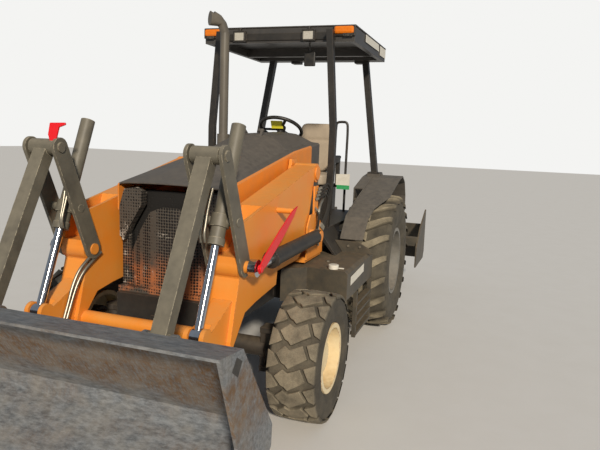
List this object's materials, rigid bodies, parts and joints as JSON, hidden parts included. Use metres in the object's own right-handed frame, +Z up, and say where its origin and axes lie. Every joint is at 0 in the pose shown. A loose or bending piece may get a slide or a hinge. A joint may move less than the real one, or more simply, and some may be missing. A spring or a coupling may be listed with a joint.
{
  "type": "tractor loader",
  "caption": "Wheeled industrial tractor with a front loader bucket on twin arms, an open seat under a four-post canopy, and a box scraper carried on its rear hitch.",
  "frame": {"origin": "On the ground, at the middle of the machine's width and of its length from the bucket's edge to the scraper's rear.", "axes": "+X to the machine's left, +Y to its rear, +Z up. It stands on its four tyres with the bucket's edge just off the ground."},
  "size_m": [2.13, 5.8222, 2.7969],
  "materials": {
    "orange_paint": "sun-faded gloss paint",
    "faded_paint": "weathered dark paint",
    "worn_steel": "worn, dusty steel",
    "black_paint": "satin black paint",
    "red_paint": "gloss paint",
    "chromed_rod": "polished chrome",
    "cream_paint": "chalky, rust-specked paint",
    "grey_rim": "weathered grey paint",
    "tyre_rubber": "dusty rubber",
    "seat_vinyl": "worn tan vinyl",
    "black_plastic": "matt black plastic",
    "cast_metal": "oily, dusty castings",
    "canopy_shell": "faded gloss paint",
    "lamp_lens": "clear lens",
    "mesh_screen": "rusting black mesh"
  },
  "bodies": {
    "chassis": {"chassis_frame": "black_paint", "engine_block": "cast_metal", "drive_line": "cast_metal", "front_axle": "cast_metal", "rear_axle": "cast_metal", "loader_towers": "orange_paint", "grille_housing": "mesh_screen", "cowl": "orange_paint", "exhaust_stack": "worn_steel", "platform": "black_paint", "step_tank_left": "black_paint", "step_box_right": "black_paint", "fenders": "faded_paint", "steering_column": "black_plastic", "seat_base": "black_paint", "seat_cushion": "seat_vinyl", "seat_back": "seat_vinyl", "rops_frame": "black_paint", "canopy_roof": "canopy_shell", "lamps": "lamp_lens", "hitch_frame": "cast_metal"},
    "hood": {"hood_top": "faded_paint"},
    "loader": {"loader_arms": "orange_paint", "safety_strut": "red_paint"},
    "levers": {"bucket_levers": "faded_paint"},
    "links": {"bucket_links": "faded_paint"},
    "bucket_barrels": {"bucket_barrels": "orange_paint"},
    "bucket_rods": {"bucket_rods": "chromed_rod"},
    "bucket": {"bucket": "worn_steel"},
    "lift_barrels": {"lift_barrels": "orange_paint"},
    "lift_rods": {"lift_rods": "chromed_rod"},
    "knuckle_left": {"knuckle_left": "cast_metal"},
    "knuckle_right": {"knuckle_right": "cast_metal"},
    "front_wheel_left": {"front_tyre_left": "tyre_rubber", "front_rim_left": "cream_paint"},
    "front_wheel_right": {"front_tyre_right": "tyre_rubber", "front_rim_right": "cream_paint"},
    "rear_wheel_left": {"rear_tyre_left": "tyre_rubber", "rear_rim_left": "grey_rim"},
    "rear_wheel_right": {"rear_tyre_right": "tyre_rubber", "rear_rim_right": "grey_rim"},
    "hitch_arms": {"hitch_arms": "black_paint"},
    "top_link": {"top_link": "worn_steel"},
    "scraper": {"box_scraper": "orange_paint"}
  },
  "joints": [
    {"name": "lift", "type": "hinge", "parent": "chassis", "child": "loader", "pos_m": [0, -0.44971, 1.54], "axis": [-1, 0, 0], "range_deg": [0, 88]},
    {"name": "bucket_tilt", "type": "hinge", "parent": "loader", "child": "bucket", "pos_m": [0, -2.29971, 0.55], "axis": [1, 0, 0], "range_deg": [-50, 75]},
    {"name": "lever_swing", "type": "hinge", "parent": "loader", "child": "levers", "pos_m": [0, -1.77971, 1.075], "axis": [1, 0, 0], "range_deg": [-31, 46]},
    {"name": "link_swing", "type": "hinge", "parent": "levers", "child": "links", "pos_m": [0, -2.04471, 1.7], "axis": [1, 0, 0], "range_deg": [-37, 25]},
    {"name": "bucket_ram_swing", "type": "hinge", "parent": "levers", "child": "bucket_barrels", "pos_m": [0, -1.89234, 1.34062], "axis": [1, 0, 0], "range_deg": [-40, 40]},
    {"name": "bucket_ram_slide", "type": "slide", "parent": "bucket_barrels", "child": "bucket_rods", "axis": [0, -0.3784, -0.9256], "range_m": [-0.2, 0.12]},
    {"name": "lift_ram_swing", "type": "hinge", "parent": "chassis", "child": "lift_barrels", "pos_m": [0, -0.60871, 1.081], "axis": [-1, 0, 0], "range_deg": [0, 90]},
    {"name": "lift_ram_slide", "type": "slide", "parent": "lift_barrels", "child": "lift_rods", "axis": [0, -1, -0.0051], "range_m": [0, 0.69]},
    {"name": "steering_left", "type": "hinge", "parent": "chassis", "child": "knuckle_left", "pos_m": [0.64, -1.26971, 0.4175], "axis": [0, 0, 1], "range_deg": [-35, 35]},
    {"name": "steering_right", "type": "hinge", "parent": "chassis", "child": "knuckle_right", "pos_m": [-0.64, -1.26971, 0.4175], "axis": [0, 0, 1], "range_deg": [-35, 35]},
    {"name": "front_wheel_left_spin", "type": "hinge", "parent": "knuckle_left", "child": "front_wheel_left", "pos_m": [0.87, -1.26971, 0.4175], "axis": [1, 0, 0], "continuous": true},
    {"name": "front_wheel_right_spin", "type": "hinge", "parent": "knuckle_right", "child": "front_wheel_right", "pos_m": [-0.87, -1.26971, 0.4175], "axis": [1, 0, 0], "continuous": true},
    {"name": "rear_wheel_left_spin", "type": "hinge", "parent": "chassis", "child": "rear_wheel_left", "pos_m": [0.83, 0.88029, 0.6425], "axis": [1, 0, 0], "continuous": true},
    {"name": "rear_wheel_right_spin", "type": "hinge", "parent": "chassis", "child": "rear_wheel_right", "pos_m": [-0.83, 0.88029, 0.6425], "axis": [1, 0, 0], "continuous": true},
    {"name": "hood_open", "type": "hinge", "parent": "chassis", "child": "hood", "pos_m": [0, -0.34571, 1.85], "axis": [-1, 0, 0], "range_deg": [0, 55]},
    {"name": "hitch_lift", "type": "hinge", "parent": "chassis", "child": "hitch_arms", "pos_m": [0, 1.42029, 0.56], "axis": [-1, 0, 0], "range_deg": [0, 24]},
    {"name": "scraper_level", "type": "hinge", "parent": "hitch_arms", "child": "scraper", "pos_m": [0, 2.11029, 0.5], "axis": [-1, 0, 0], "range_deg": [-26, 0]},
    {"name": "top_link_swing", "type": "hinge", "parent": "chassis", "child": "top_link", "pos_m": [0, 1.42029, 0.94], "axis": [-1, 0, 0], "range_deg": [0, 26]}
  ],
  "couplings": [
    {"joint": "lever_swing", "follows": "bucket_tilt", "ratio": 0.6019},
    {"joint": "link_swing", "follows": "bucket_tilt", "ratio": -0.4841},
    {"joint": "bucket_ram_swing", "follows": "bucket_tilt", "ratio": -0.4161},
    {"joint": "bucket_ram_slide", "follows": "bucket_tilt", "m_per_rad": -0.1321},
    {"joint": "lift_ram_swing", "follows": "lift", "ratio": 0.9251},
    {"joint": "lift_ram_slide", "follows": "lift", "m_per_rad": 0.4338},
    {"joint": "steering_right", "follows": "steering_left", "ratio": 1},
    {"joint": "scraper_level", "follows": "hitch_lift", "ratio": -1},
    {"joint": "top_link_swing", "follows": "hitch_lift", "ratio": 1}
  ]
}
